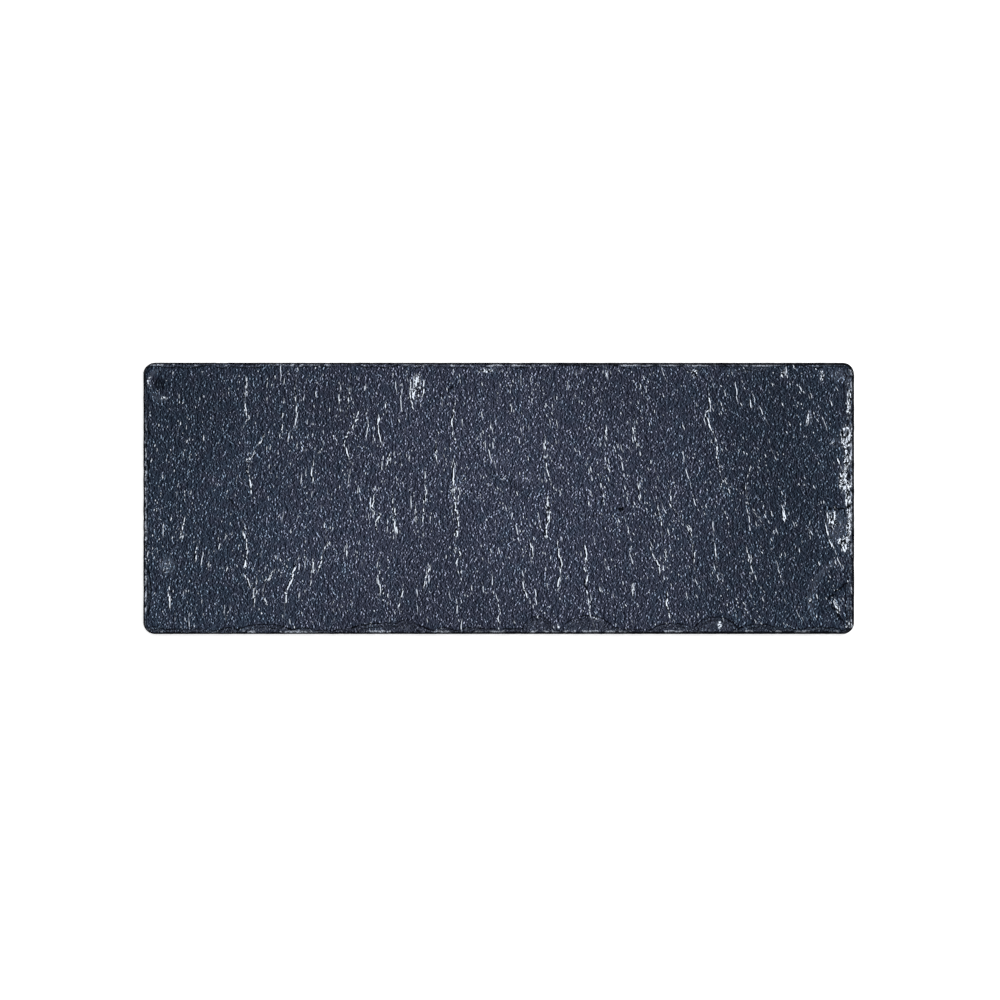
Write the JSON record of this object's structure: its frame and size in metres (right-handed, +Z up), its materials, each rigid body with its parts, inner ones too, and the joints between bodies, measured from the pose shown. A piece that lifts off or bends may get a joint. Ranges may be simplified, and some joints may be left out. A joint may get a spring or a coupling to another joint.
{
  "type": "slate slab",
  "caption": "Thin rectangular slab of riven slate with rounded corners and knapped edges, which lies flat as a serving or display plate.",
  "frame": {"origin": "on the resting plane, under the middle of the slab's outline", "axes": "+X along the slab, to the right in the picture; +Y across it, up in the picture; +Z up, out of the riven face"},
  "size_m": [0.4, 0.1528, 0.006],
  "materials": {
    "slate": "riven dark blue-grey slate, dull, with pale fractured grain lines and chips"
  },
  "bodies": {
    "root": {"slate_slab": "slate"}
  },
  "joints": []
}
